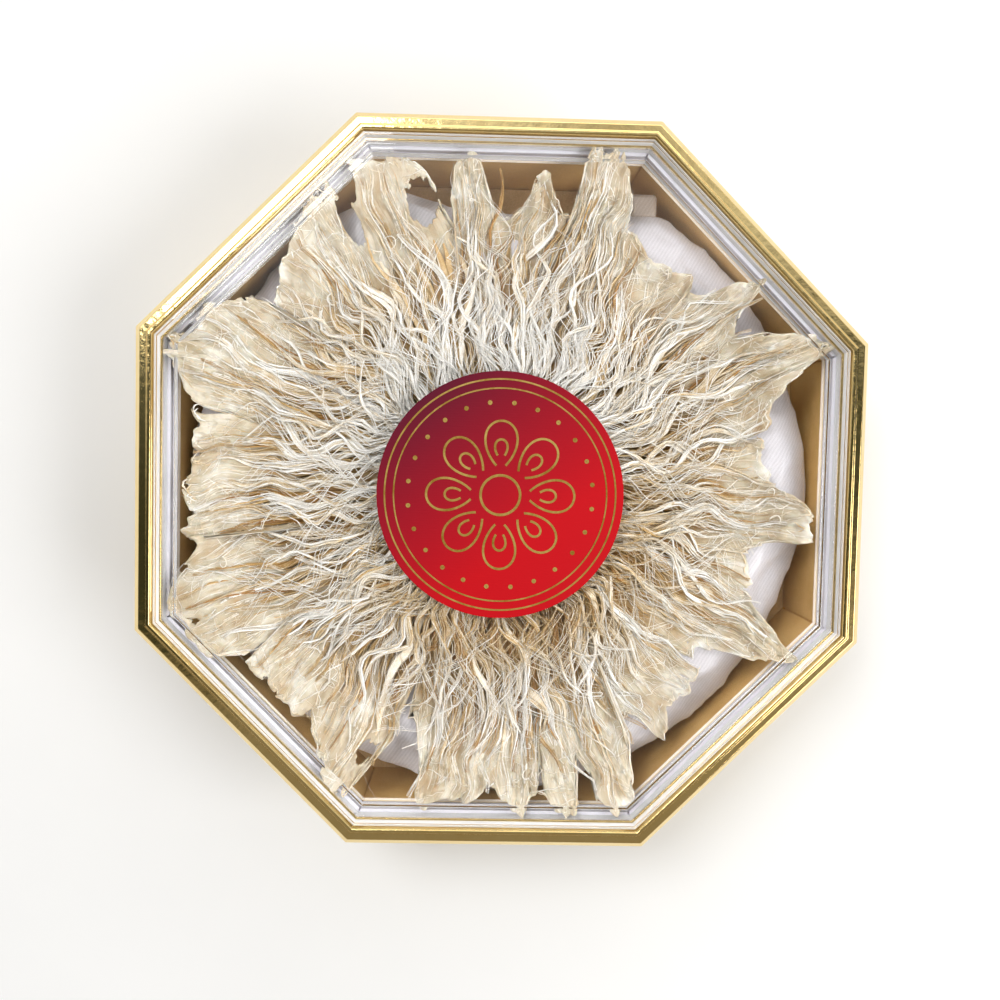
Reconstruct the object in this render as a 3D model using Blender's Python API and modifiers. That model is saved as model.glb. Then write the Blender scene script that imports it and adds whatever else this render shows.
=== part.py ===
"""Edible bird's nests in their octagonal case: a gold tray with a card lining, a padded satin
cushion, thirteen dried nests laid as a rosette, and a clear lid in a gold frame with a round seal.

Lengths in the tables are millimetres and angles are degrees; MM turns them into metres.
The case stands on z = 0 with its axis on Z, and its flats face +X, +Y and the diagonals.
"""

import math
import random

import bmesh
import bpy

MM = 0.001
SIDES = 8
MITRE = math.cos(math.pi / SIDES)  # apothem over corner radius

# Driving dimensions of the case. Widths are apothems: from the axis to a flat.
FRAME_OUT = 100.0
FRAME_IN = 94.8
FRAME_TOP = 44.9
FRAME_FLAT = 44.4  # between the bead at its inner edge and the slope at its outer one
BEAD_WIDE = 1.5
BEAD_ROUND = 0.3
SLOPE_IN = 98.1
SLOPE_FOOT = 42.6
FRAME_SHOULDER = 41.9
SKIRT_FOOT = 34.0
SKIRT_WALL = 1.8
LEDGE_IN = 93.0
LEDGE_TOP = 41.0
LEDGE_THICK = 1.2
PLAY = 0.3  # gap between pieces that touch

TRAY_IN = 93.3
TRAY_WALL = 2.4
TRAY_DRAFT = 0.8
TRAY_FLANGE = 97.8
FLANGE_THICK = 1.6
FLANGE_FILLET = 1.0
TRAY_FLOOR = 2.2
TRAY_CHAMFER = 1.4
FOOT_RECESS = 0.8
FOOT_IN = 88.6

CARD = 1.2
LINER_IN = 91.8
LINER_TOP = 37.5
SCORE_WIDE = 0.5
SCORE_DEEP = 0.7
FLOOR_CARD = 0.8

PANE_THICK = 1.6
RIDGE_IN = 88.3
RIDGE_OUT = 92.0
RIDGE_TOP = 44.3
GROOVE_OUT = 93.0
GROOVE_RISE = 0.3
RIDGE_SLOPE = 0.6

SEAL_RADIUS = 33.8
SEAL_THICK = 0.3
SEAL_SHIFT = (-0.4, -2.2)

# The cushion is a round pad that fills the lining and dips back from it at the far side.
CUSHION_RADIUS = 91.0
CUSHION_MIDDLE = 25.0
CUSHION_CROWN = 31.5
CUSHION_DIP = 12.0
CUSHION_DIP_AT = 87.0
CUSHION_DIP_WIDE = 19.0
CUSHION_ROUND = 0.45  # below 1 squares the pad's shoulder
CUSHION_FALL = 0.9  # below 1 flattens its crown

# Each nest fans out from the middle to its feet, the hard ends that held it to the rock.
NEST_IN = 15.0
NEST_GAP = 0.5
NEST_REACH = 92.7  # the furthest apothem, over the card's edge and short of the ledge
NEST_COLUMNS = 18
NEST_ROWS = (0.0, 0.2, 0.4, 0.58, 0.73, 0.85, 0.94, 1.0)
NEST_THICK_IN = 5.6
NEST_THICK_FOOT = 1.3
NEST_LIFT = 0.5
BUNDLE_RISE = 0.9
BUNDLE_UNEVEN = 0.3
FOOT_RISE_FROM = 70.0
FOOT_RISE_TO = 88.0
FOOT_UNDER = 38.1  # height of a foot's underside where it crosses the card's edge
EDGE_WANDER = 1.2
EDGE_WAVE = 11.0
EDGE_FREE = 50.0  # a border is straight at the middle and wanders fully from this distance
FIRST_REACH = 80.0  # the reach that a nest's outline is first read with
DICE_SEED = 200

# One row for each nest: its outline from one side to the other, as directions and reaches. The
# first direction is also where the nest begins and the one before it ends.
NESTS = [
    [(12, 76), (20, 80), (22.6, 90), (23, 98.5), (26, 98.5), (28, 94), (30.5, 88), (33, 79.5),
     (36.5, 79), (37.5, 86), (39, 93.5), (41, 93), (42.5, 85), (43.5, 78.5), (46, 76.5)],
    [(46, 76.5), (50, 79), (56, 75.5), (63, 80), (66, 83), (68, 90), (70, 96), (72, 98.5),
     (76, 98.5), (77, 90), (78, 79)],
    [(78, 79), (80.5, 81), (82.8, 87.5), (85, 83), (88, 76.5), (91, 74), (93, 78), (93.7, 88),
     (95, 91.5), (99, 91.5), (100.5, 86), (102, 79), (103, 75)],
    [(103, 84), (104.5, 92), (109, 94), (113, 96.5), (117, 98), (121, 97), (124, 95), (127, 92.5),
     (130, 88), (134, 87), (139, 85), (141.5, 80)],
    [(141.5, 80), (143, 84), (146.5, 89.5), (149.5, 95), (151, 98.5), (152.3, 95), (153.5, 91),
     (155, 96), (156, 99.5), (159, 99), (161, 95), (164, 90.5), (167, 87)],
    [(167, 86.5), (169, 85.5), (175, 87), (184, 87.5), (191, 89), (192, 87)],
    [(192, 87), (194.5, 88), (198, 93), (200.5, 98.5), (202, 98.5), (204, 94), (206, 96.5),
     (210, 96), (212.5, 93), (213.5, 87), (214, 86)],
    [(214, 86), (222, 86), (231, 85.5), (235, 88), (238, 92), (240, 97.5), (245, 98), (246.5, 91),
     (247, 84), (247.5, 78)],
    [(247.5, 74), (251, 71), (253, 75), (254.5, 86), (255.5, 93), (258.5, 94), (260.5, 90),
     (263, 88.5), (265, 91), (266.5, 87), (269, 84), (272, 87), (273.5, 91.5), (275, 92),
     (276.5, 87), (279.5, 87.5)],
    [(279.5, 87.5), (280.5, 92), (281.5, 95.5), (284, 96), (285, 90), (286, 82), (287.5, 80),
     (288.3, 90), (289, 97.5), (294, 97.5), (295.5, 92), (297, 85), (299, 79), (300, 77)],
    [(300, 76), (302, 76), (303.5, 84), (305, 84), (307.5, 80), (312, 80), (317, 79.5), (318, 78)],
    [(318, 77), (320.5, 72), (323, 76), (326, 82), (328, 89), (329.5, 95.5), (330.5, 95.5),
     (332, 89), (335, 82), (338, 78), (341, 75.5), (344, 72)],
    [(344, 71), (345.5, 75), (348, 71), (349.5, 80), (350.5, 88.5), (353.5, 88), (357.5, 88),
     (358.8, 83), (360, 79), (363, 75), (367, 73), (369.5, 75.5), (372, 76)],
]

GOLD = (0.80, 0.62, 0.25)
CARD_GOLD = (0.62, 0.47, 0.28)
SATIN = (0.90, 0.88, 0.86)
NEST_CREAM = (0.86, 0.77, 0.60)
CLEAR = (0.95, 0.96, 0.98)
RED = (0.66, 0.02, 0.05)


def smooth_step(low, high, value):
    share = min(1.0, max(0.0, (value - low) / (high - low)))
    return share * share * (3 - 2 * share)


def degrees_between(a, b):
    return (a - b + 180.0) % 360.0 - 180.0


def clear_scene():
    for obj in list(bpy.data.objects):
        bpy.data.objects.remove(obj)


def make_collection(name):
    collection = bpy.data.collections.new(name)
    bpy.context.scene.collection.children.link(collection)
    return collection


def make_material(name, colour, roughness, metallic=0.0, alpha=1.0):
    material = bpy.data.materials.new(name)
    material.use_nodes = True
    shader = material.node_tree.nodes["Principled BSDF"]
    shader.inputs["Base Color"].default_value = (*colour, 1.0)
    shader.inputs["Roughness"].default_value = roughness
    shader.inputs["Metallic"].default_value = metallic
    shader.inputs["Alpha"].default_value = alpha
    return material


def add_object(name, mesh, collection, material=None):
    obj = bpy.data.objects.new(name, mesh)
    collection.objects.link(obj)
    if material:
        mesh.materials.append(material)
    return obj


def eight_sided(name, profile, collection, material, ring):
    """Turns a profile of (apothem, height) through eight steps, so that it has eight flats."""
    mesh = bpy.data.meshes.new(name)
    points = [(apothem / MITRE * MM, 0.0, height * MM) for apothem, height in profile]
    edges = [(i, i + 1) for i in range(len(points) - 1)]
    if ring:
        edges.append((len(points) - 1, 0))
    mesh.from_pydata(points, edges, [])
    obj = add_object(name, mesh, collection, material)
    obj.rotation_euler.z = math.pi / SIDES
    screw = obj.modifiers.new("eight flats", "SCREW")
    screw.axis = "Z"
    screw.angle = 2 * math.pi
    screw.steps = SIDES
    screw.render_steps = SIDES
    screw.use_smooth_shade = False
    screw.use_merge_vertices = True
    screw.merge_threshold = 0.00001
    return obj


def make_tray(collection, material):
    rim = LEDGE_TOP - LEDGE_THICK - PLAY
    out = TRAY_IN + TRAY_WALL
    profile = [
        (0.0, TRAY_FLOOR),
        (TRAY_IN, TRAY_FLOOR),
        (TRAY_IN, rim),
        (TRAY_FLANGE, rim),
        (TRAY_FLANGE, rim - FLANGE_THICK),
        (out, rim - FLANGE_THICK - FLANGE_FILLET),
        (out - TRAY_DRAFT, TRAY_CHAMFER),
        (out - TRAY_DRAFT - TRAY_CHAMFER, 0.0),
        (FOOT_IN, 0.0),
        (FOOT_IN - FOOT_RECESS, FOOT_RECESS),
        (0.0, FOOT_RECESS),
    ]
    return eight_sided("base_tray", profile, collection, material, ring=False)


def make_score_cutters(collection):
    """One thin upright block at each inner corner of the lining, where the card is scored to fold."""
    built = bmesh.new()
    corner = LINER_IN / MITRE
    for side in range(SIDES):
        block = bmesh.ops.create_cube(built, size=1.0)["verts"]
        turn = math.pi / SIDES + side * 2 * math.pi / SIDES
        for vert in block:
            along = (corner + vert.co.x * 2 * SCORE_DEEP) * MM
            across = vert.co.y * SCORE_WIDE * MM
            vert.co.z = (vert.co.z * 2 * LINER_TOP + LINER_TOP / 2) * MM
            vert.co.x = along * math.cos(turn) - across * math.sin(turn)
            vert.co.y = along * math.sin(turn) + across * math.cos(turn)
    mesh = bpy.data.meshes.new("card_scores")
    built.to_mesh(mesh)
    built.free()
    cutter = add_object("card_scores", mesh, collection)
    cutter.hide_render = True
    cutter.display_type = "WIRE"
    return cutter


def make_liner(collection, material, cutter):
    foot = TRAY_FLOOR + PLAY
    profile = [
        (LINER_IN, LINER_TOP),
        (LINER_IN + CARD, LINER_TOP),
        (LINER_IN + CARD, foot),
        (LINER_IN, foot),
    ]
    liner = eight_sided("liner_wall", profile, collection, material, ring=True)
    cut = liner.modifiers.new("fold scores", "BOOLEAN")
    cut.operation = "DIFFERENCE"
    cut.object = cutter
    return liner


def make_floor_card(collection, material):
    foot = TRAY_FLOOR + PLAY
    edge = LINER_IN - PLAY
    profile = [(0.0, foot + FLOOR_CARD), (edge, foot + FLOOR_CARD), (edge, foot), (0.0, foot)]
    return eight_sided("floor_card", profile, collection, material, ring=False)


def make_frame(collection, material):
    """The lid's gold frame: a bead, a flat and a slope above a skirt, and the ledge for the pane."""
    ledge_foot = LEDGE_TOP - LEDGE_THICK
    skirt_in = FRAME_OUT - SKIRT_WALL
    profile = [
        (FRAME_IN, FRAME_TOP - 2 * BEAD_ROUND),
        (FRAME_IN + BEAD_ROUND, FRAME_TOP),
        (FRAME_IN + BEAD_WIDE - 0.4, FRAME_TOP),
        (FRAME_IN + BEAD_WIDE, FRAME_FLAT),
        (SLOPE_IN, FRAME_FLAT),
        (FRAME_OUT - BEAD_ROUND, SLOPE_FOOT),
        (FRAME_OUT, FRAME_SHOULDER),
        (FRAME_OUT, SKIRT_FOOT),
        (skirt_in, SKIRT_FOOT),
        (skirt_in, ledge_foot),
        (LEDGE_IN, ledge_foot),
        (LEDGE_IN, LEDGE_TOP),
        (FRAME_IN, LEDGE_TOP),
    ]
    return eight_sided("lid_frame", profile, collection, material, ring=True)


def make_window(collection, material):
    """The clear pane, with two moulded ridges along its edge."""
    foot = LEDGE_TOP + PLAY
    top = foot + PANE_THICK
    edge = FRAME_IN - PLAY
    profile = [
        (0.0, top),
        (RIDGE_IN, top),
        (RIDGE_IN + RIDGE_SLOPE, RIDGE_TOP - 0.3),
        (RIDGE_OUT - 0.4, RIDGE_TOP - 0.2),
        (RIDGE_OUT, top + GROOVE_RISE),
        (GROOVE_OUT, top + GROOVE_RISE),
        (GROOVE_OUT + 0.3, RIDGE_TOP),
        (edge - 0.3, RIDGE_TOP),
        (edge, RIDGE_TOP - 0.4),
        (edge, foot),
        (0.0, foot),
    ]
    return eight_sided("lid_window", profile, collection, material, ring=False)


def make_seal(collection, material):
    foot = LEDGE_TOP + PLAY + PANE_THICK + PLAY
    bpy.ops.mesh.primitive_cylinder_add(
        vertices=64, radius=SEAL_RADIUS * MM, depth=SEAL_THICK * MM
    )
    seal = bpy.context.active_object
    seal.name = "seal_label"
    seal.data.name = "seal_label"
    seal.location = (SEAL_SHIFT[0] * MM, SEAL_SHIFT[1] * MM, (foot + SEAL_THICK / 2) * MM)
    seal.data.materials.append(material)
    for holder in list(seal.users_collection):
        holder.objects.unlink(seal)
    collection.objects.link(seal)
    return seal


def cushion_radius(direction):
    """Radius of the pad in a direction: full, less a dip at the far side."""
    off = degrees_between(direction, CUSHION_DIP_AT) / CUSHION_DIP_WIDE
    return CUSHION_RADIUS - CUSHION_DIP * math.exp(-(off**4))


def cushion_top(distance, direction):
    """Height of the pad's upper face at a distance from its axis."""
    share = min(1.0, distance / cushion_radius(direction))
    level = math.sqrt(max(0.0, 1 - (share ** (1 / CUSHION_ROUND)) ** 2))
    return CUSHION_MIDDLE + (CUSHION_CROWN - CUSHION_MIDDLE) * level**CUSHION_FALL


def make_cushion(collection, material):
    """A sphere pressed into a round pad with a soft shoulder and a flat foot."""
    foot = TRAY_FLOOR + PLAY + FLOOR_CARD + PLAY
    built = bmesh.new()
    bmesh.ops.create_uvsphere(built, u_segments=36, v_segments=12, radius=1.0)
    for vert in built.verts:
        flat = min(1.0, math.hypot(vert.co.x, vert.co.y))
        direction = math.degrees(math.atan2(vert.co.y, vert.co.x))
        distance = cushion_radius(direction) * flat**CUSHION_ROUND if flat > 1e-6 else 0.0
        level = abs(vert.co.z) ** CUSHION_FALL
        if vert.co.z >= 0:
            height = CUSHION_MIDDLE + (CUSHION_CROWN - CUSHION_MIDDLE) * level
        else:
            height = max(foot, CUSHION_MIDDLE * (1 - level))
        vert.co.x = distance * math.cos(math.radians(direction)) * MM
        vert.co.y = distance * math.sin(math.radians(direction)) * MM
        vert.co.z = height * MM
    mesh = bpy.data.meshes.new("cushion")
    built.to_mesh(mesh)
    built.free()
    cushion = add_object("cushion", mesh, collection, material)
    cushion.data.shade_smooth()
    return cushion


def border_of(index):
    """Direction of a border, counted on past a full turn."""
    turns, place = divmod(index, len(NESTS))
    return NESTS[place][0][0] + 360.0 * turns


def border_direction(index, distance):
    """The direction of a border at a distance: it wanders, and both nests beside it follow it."""
    phase = 1.7 * (index % len(NESTS))
    sway = EDGE_WANDER * math.sin(phase + distance / EDGE_WAVE)
    return border_of(index) + sway * smooth_step(NEST_IN, EDGE_FREE, distance)


def reach_limit(direction):
    """The furthest that a nest may reach in a direction: the same apothem all round."""
    flat = 360.0 / SIDES
    off = (direction + flat / 2) % flat - flat / 2
    return NEST_REACH / math.cos(math.radians(off))


def nest_outline(index, direction):
    """How far a nest reaches in a direction, read between the points of its outline."""
    points = NESTS[index]
    reach = points[-1][1]
    for (low, low_reach), (high, high_reach) in zip(points, points[1:]):
        if direction <= high:
            share = max(0.0, (direction - low) / (high - low))
            reach = low_reach + (high_reach - low_reach) * share
            break
    return min(reach, reach_limit(direction))


def column_shares(index):
    """Where a nest's columns stand between its borders: at its outline's points, and between them."""
    low, high = border_of(index), border_of(index + 1)
    shares = [(direction - low) / (high - low) for direction, _ in NESTS[index]]
    while len(shares) <= NEST_COLUMNS:
        _, place = max((shares[i + 1] - shares[i], i) for i in range(len(shares) - 1))
        shares.insert(place + 1, (shares[place] + shares[place + 1]) / 2)
    return shares


def nest_underside(distance, direction):
    """A nest lies on the cushion and its feet climb over the edge of the lining."""
    resting = cushion_top(min(distance, FOOT_RISE_FROM), direction) + PLAY + NEST_LIFT
    climb = smooth_step(FOOT_RISE_FROM, FOOT_RISE_TO, distance)
    return resting + (FOOT_UNDER - resting) * climb


def nest_place(index, side, along):
    """Distance and direction of a point: side runs between the borders, along from the middle out."""
    reach = FIRST_REACH
    for _ in range(3):
        distance = NEST_IN + (reach - NEST_IN) * along
        half_gap = math.degrees(NEST_GAP / 2 / distance)
        low = border_direction(index, distance) + half_gap
        high = border_direction(index + 1, distance) - half_gap
        direction = low + (high - low) * side
        reach = nest_outline(index, direction)
    return distance, direction


def nest_thickness(column, along, dice):
    """Thick in the middle and thin at the feet; every other column is a raised strand bundle."""
    thick = NEST_THICK_IN + (NEST_THICK_FOOT - NEST_THICK_IN) * smooth_step(0.4, 0.95, along)
    raised = 0 < column < NEST_COLUMNS and column % 2
    bundle = (BUNDLE_RISE if raised else -BUNDLE_RISE) * math.sin(math.pi * min(0.8, 0.25 + along))
    bundle += dice.uniform(-BUNDLE_UNEVEN, BUNDLE_UNEVEN)
    return thick + bundle * (1 - smooth_step(0.75, 0.95, along))


def grid_places(verts, rows):
    """The column and row of each point of a flat grid that runs from -1 to 1."""
    return {
        vert: (round((vert.co.x + 1) / 2 * NEST_COLUMNS), round((vert.co.y + 1) / 2 * rows))
        for vert in verts
    }


def make_nest(index, collection, material):
    """A slab of columns and rows laid out as a fan, whose raised columns are strand bundles."""
    name = f"nest_{index + 1:02d}"
    dice = random.Random(DICE_SEED + index)
    rows = len(NEST_ROWS) - 1
    built = bmesh.new()
    bmesh.ops.create_grid(built, x_segments=NEST_COLUMNS, y_segments=rows, size=1.0)
    upper = grid_places(built.verts, rows)
    made = bmesh.ops.extrude_face_region(built, geom=built.faces[:])
    lower = grid_places([item for item in made["geom"] if isinstance(item, bmesh.types.BMVert)], rows)
    levels = {}
    for column, side in enumerate(column_shares(index)):
        for row, along in enumerate(NEST_ROWS):
            distance, direction = nest_place(index, side, along)
            under = nest_underside(distance, direction)
            over = under + nest_thickness(column, along, dice)
            levels[column, row] = (distance, math.radians(direction), under, over)
    for verts, level in ((lower, 2), (upper, 3)):
        for vert, place in verts.items():
            distance, turn = levels[place][:2]
            vert.co.x = distance * math.cos(turn) * MM
            vert.co.y = distance * math.sin(turn) * MM
            vert.co.z = levels[place][level] * MM
    bmesh.ops.recalc_face_normals(built, faces=built.faces[:])
    mesh = bpy.data.meshes.new(name)
    built.to_mesh(mesh)
    built.free()
    return add_object(name, mesh, collection, material)


def main():
    clear_scene()
    parts = make_collection("boxed_birds_nests")
    cutters = make_collection("cutters")
    gold = make_material("gold_plate", GOLD, 0.15, metallic=1.0)
    card = make_material("gold_card", CARD_GOLD, 0.45, metallic=0.5)
    satin = make_material("ivory_satin", SATIN, 0.45)
    clear = make_material("clear_plastic", CLEAR, 0.05, alpha=0.2)
    nest = make_material("dried_nest", NEST_CREAM, 0.5)
    red = make_material("red_label", RED, 0.35)
    make_tray(parts, gold)
    make_liner(parts, card, make_score_cutters(cutters))
    make_floor_card(parts, card)
    make_cushion(parts, satin)
    for index in range(len(NESTS)):
        make_nest(index, parts, nest)
    make_frame(parts, gold)
    make_window(parts, clear)
    make_seal(parts, red)


main()
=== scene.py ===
"""Looks for the edible bird's nests in their octagonal case: dried strands and membranes over a
satin cushion, gold card lining, gold tray and frame, clear pane and a round red seal.

Lengths in the values below are millimetres and angles are degrees; MM turns them into metres.
Directions run counter-clockwise from +X, and distances are from the case's axis.
"""

import math

import bmesh
import bpy
import numpy as np
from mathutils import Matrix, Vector
from mathutils.bvhtree import BVHTree


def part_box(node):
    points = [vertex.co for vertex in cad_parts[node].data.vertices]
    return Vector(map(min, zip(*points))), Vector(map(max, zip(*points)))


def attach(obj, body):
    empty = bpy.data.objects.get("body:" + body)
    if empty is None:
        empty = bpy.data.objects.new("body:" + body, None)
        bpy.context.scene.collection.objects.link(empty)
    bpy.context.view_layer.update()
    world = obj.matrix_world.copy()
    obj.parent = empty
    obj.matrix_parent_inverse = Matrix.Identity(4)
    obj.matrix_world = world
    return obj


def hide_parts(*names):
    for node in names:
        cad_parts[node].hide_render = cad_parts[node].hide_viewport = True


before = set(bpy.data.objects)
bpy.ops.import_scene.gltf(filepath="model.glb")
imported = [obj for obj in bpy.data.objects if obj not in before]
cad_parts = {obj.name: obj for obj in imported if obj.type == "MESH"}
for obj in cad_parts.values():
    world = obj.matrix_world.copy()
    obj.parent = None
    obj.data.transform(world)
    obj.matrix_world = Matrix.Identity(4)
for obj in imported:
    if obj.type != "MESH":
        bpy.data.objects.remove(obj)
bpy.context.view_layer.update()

MM = 0.001
NESTS = sorted(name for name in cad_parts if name.startswith("nest_"))

MERGE_DISTANCE = 0.000005  # metres
FLAT_ANGLE = 1.0  # faces nearer to one plane than this are joined
SHARP_ANGLE = 20.0  # edges sharper than this are rounded

# Low and high colour of each mottled finish.
PLATE_COLOURS = (0.86, 0.64, 0.27), (0.92, 0.72, 0.34)
WALL_COLOURS = (0.80, 0.49, 0.16), (0.95, 0.64, 0.26)
FLOOR_COLOURS = (0.50, 0.32, 0.14), (0.66, 0.45, 0.22)
# Pale colour of the foil's top edge: a painted highlight.
EDGE_HIGHLIGHT_COLOURS = (0.90, 0.78, 0.64), (0.98, 0.90, 0.80)
PAD_COLOURS = (0.56, 0.53, 0.54), (0.66, 0.64, 0.67)
# The corner tab: the satin darkened as painted shade.
TAB_PAINTED_SHADE_COLOURS = (0.36, 0.29, 0.23), (0.43, 0.35, 0.29)
INK_COLOURS = (0.42, 0.25, 0.03), (0.78, 0.56, 0.16)
STAGE_COLOURS = (0.92, 0.92, 0.92), (0.95, 0.95, 0.95)
# Place and colour along each ramp.
STRAND_COLOURS = ((0.0, (0.36, 0.17, 0.03)), (0.35, (0.56, 0.36, 0.12)), (0.65, (0.76, 0.64, 0.45)),
                  (1.0, (0.93, 0.91, 0.86)))
MEMBRANE_COLOURS = ((0.0, (0.33, 0.20, 0.07)), (0.5, (0.49, 0.42, 0.30)), (1.0, (0.84, 0.82, 0.76)))
SEAL_COLOURS = ((0.0, (0.58, 0.0, 0.006)), (1.0, (0.09, 0.001, 0.018)))
SKY_COLOURS = ((0.25, (0.30, 0.27, 0.22)), (0.47, (0.03, 0.035, 0.02)), (0.60, (0.03, 0.035, 0.02)),
               (0.82, (1.0, 1.0, 1.0)))
SKY_STRENGTH = 0.9
FLOOR_REACH, FLOOR_DROP = 2500.0, 0.3
# Place in metres, size in metres, and power of each soft light.
LIGHTS = (("key", (-0.40, 0.45, 1.0), (0.4, 0.4), 4.6), ("fill", (0.75, -0.30, 0.75), (0.7, 0.5), 7.0),
          ("back", (0.25, 0.95, 0.45), (0.9, 0.3), 2.0))

# The camera stands at the photograph's place: straight over the case, a little off its axis.
CAMERA_PLACE = (-5.8, 7.8, 297.5)
CAMERA_TURN = (-2.58, -1.15, 1.24)
CAMERA_LENS = 33.5

# The cushion: its shrinking before it swells, cloth settings, and how far it may swell and rise.
PAD_SHRINK = 0.985
PAD_GRAIN = 3.6
PAD_SWELL = 3.5
PAD_RISE = 0.2
CLOTH = {"use_pressure": True, "uniform_pressure_force": 4.0, "shrink_min": -0.05, "tension_stiffness": 12,
         "bending_stiffness": 0.2}
CLOTH_STEPS = 20
CREASE = 0.2  # height of the fine ridges towards the seam
FOLD_WIDE = 1.9
# Both ends of each fold in the cloth, by the wall, and its height.
FOLDS = ((74.0, 6.0, 91.0, 13.0, 1.0), (82.0, 26.0, 90.0, 12.0, 0.5), (77.0, -4.0, 89.0, -12.0, 0.6))
TWILL_TURN = 32.0
TWILL_SCALE = 330.0
TWILL_SHADE = 0.88
TAB_PLACE = (39.5, 81.5, 21.0)
TAB_SIZE = (9.0, 8.0, 10.0)
TAB_TAPER = 0.14

# The seal, in shares of its radius: rings with their lines' width; petals from foot to tip, half as
# wide, with the angle that their line leaves open at the foot; and dots.
SEAL_SIDES = 160
RINGS = ((0.935, 0.45), (0.862, 0.40), (0.16, 0.7))
PETALS = ((0.21, 0.60, 0.155, 0.55), (0.29, 0.45, 0.06, 0.9))
PETAL_LINE, INK_THICK = 0.62, 0.04
DOT_RING, DOT_RADIUS, DOT_LINE = 0.75, 0.35, 0.55

# The nests are read from their solids on a polar grid.
GRID_NEAR = 16.0
GRID_FAR = 101.0
GRID_STEP = 0.75
GRID_TURN = 0.5
TOP_SMOOTH, UNDER_SMOOTH = 5, 3  # cells on each side that a cell is averaged over
TOP_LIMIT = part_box("lid_window")[0][2] / MM - 0.35  # just under the pane
PANE_RIM = 92.9  # the pane is clear inside this reach

# Bands painted on the wall's top, from RIM_FOOT to RIM_TOP: a pale gold painted highlight line, then
# lavender-white and grey painted reflections of the clear rim's ridges.
RIM_FOOT = 30.2
RIM_TOP = 37.6
RIM_PAINTED_LIGHT_BANDS = ((0.0, (0.98, 0.83, 0.55)), (0.2, (0.72, 0.70, 0.74)), (0.5, (0.78, 0.77, 0.86)),
             (0.72, (0.58, 0.56, 0.60)), (0.85, (0.80, 0.80, 0.88)))
# Sections of two rings, as distances from the axis to a flat and heights: the rim's lip, which
# closes the gap beside the card, and the foil's top edge under the rim, pale as a painted highlight.
LIP = ((92.75, 37.6), (93.2, 39.3), (93.2, 39.5), (92.6, 37.7))
FOIL_EDGE = ((91.25, 30.5), (91.9, 30.3), (91.9, 30.9), (91.25, 30.7))

# Each nest is a fan. Its sides are read up to SOLID_REACH, past which gaps open between the nests.
SOLID_REACH = 60.0
WIDTH_AT = 66.0  # distance at which a fan's width is measured
SIDE_OVERLAP = 1.5  # degrees by which a fan lies over its neighbours
FOOT_PULL = (62.0, 2.0, 1.6)  # feet past this reach draw the lines: the least pull, and its power
DRAWN_ZONE = (38.0, 90.0)  # where the lines are drawn together
FOOT_ZONE = (60.0, 84.0)  # where the strands give way to the feet
EDGE_GUESS, EDGE_ROUNDS = 88.0, 3

# The sheet of dried cement under the strands, which ends in the feet.
SHEET_START = 20.0
SHEET_ROWS = 64
SHEET_COLUMN = 0.42
SHEET_THICK = 0.5
SHEET_SINK = 0.45
RAGGED = ((4.2, 1.3), (1.9, 1.2), (0.9, 0.8))  # wavelength and depth of the torn edge
PLEATS = ((5.2, 16.0, 0.7), (2.3, 7.0, 0.4), (1.1, 3.0, 0.14))  # width, length and depth
LUMP_SIZE, LUMP_RISE = 1.9, 0.42
WRINKLE = 0.7
FOOT_WRINKLE = 1.3
CURL, CURL_WIDE = 0.9, 4.0
PALE_START, PALE_FEET, PALE_RIM = 0.02, 0.44, 0.14
PALE_ZONE, RIM_ZONE, RIM_WIDE = (50.0, 76.0), (62.0, 84.0), 3.0
BITE_LEVEL, BITE_FADE = 0.45, 0.16
SIDE_WANDER = 1.3
# Direction, distance and half sizes of each gap.
GAPS = ((106.6, 80.5, 4.4, 6.0), (118.7, 94.5, 3.2, 8.0), (120.8, 83.0, 2.4, 6.5), (244.0, 83.5, 2.4, 3.6),
        (204.6, 92.0, 0.9, 1.2), (102.2, 84.0, 2.0, 9.0))

# Strands run in locks from the middle of the case to the feet.
LOCK_SPACING = 1.25  # degrees of the fan for each lock
LOCK_STRANDS = 7
LOCK_POINTS = 22
LOCK_WIDE = 1.2
LOCK_THICK = 0.45
STRAND_RADIUS = (0.11, 0.30)
STRAND_SIDES = 3
FRIZZ = 0.11
LUMPS = (0.7, 1.35)  # a strand's thickness from point to point
OUTER_LIFT = 0.12
PAINTED_LIGHT_TONE, PAINTED_SHADE_TONE = 0.42, -0.14  # strands by the seal: pale painted light towards its far side, amber painted shade all round and most on its near side
PAINTED_LIGHT_SIDE = 109.0  # the direction of the painted light, in which they are palest
BAND_POINTS = 18
BAND_SIDES = 8
BAND_FLAT = 0.14
BAND_RIDGES = 2.6
STRIA_SPACING = 0.5  # across the fan, for each strand fused into the sheet
NET_SPACING = 0.45  # across the fan, for each short strand that crosses them
NET_POINTS = 8
CRUMB_SPACING = 1.5  # along the torn edge
CRUMB_POINTS = 9
LOOP_POINTS = 22
THREAD_SPACING, THREAD_RADIUS = 3.4, (0.18, 0.38)  # degrees for each loose thick lock
HAIR_SPACING, HAIR_RADIUS = 2.0, (0.07, 0.12)  # degrees for each loose fine lock


# Small makers


def link(obj):
    bpy.context.scene.collection.objects.link(obj)
    return obj


def mesh_object(name, points, faces=(), edges=()):
    """A mesh object from points in millimetres."""
    mesh = bpy.data.meshes.new(name)
    mesh.from_pydata((np.asarray(points) * MM).tolist(), list(edges), list(faces))
    mesh.update()
    return link(bpy.data.objects.new(name, mesh))


def settle(obj):
    """Replaces an object by the plain mesh that its modifiers make of it."""
    graph = bpy.context.evaluated_depsgraph_get()
    mesh = bpy.data.meshes.new_from_object(
        obj.evaluated_get(graph), preserve_all_data_layers=True, depsgraph=graph
    )
    name = obj.name
    mesh.transform(obj.matrix_world)
    bpy.data.objects.remove(obj)
    mesh.name = name
    return link(bpy.data.objects.new(name, mesh))


def from_bmesh(name, built):
    """An object from a bmesh, which is then freed."""
    mesh = bpy.data.meshes.new(name)
    built.to_mesh(mesh)
    built.free()
    return link(bpy.data.objects.new(name, mesh))


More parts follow.
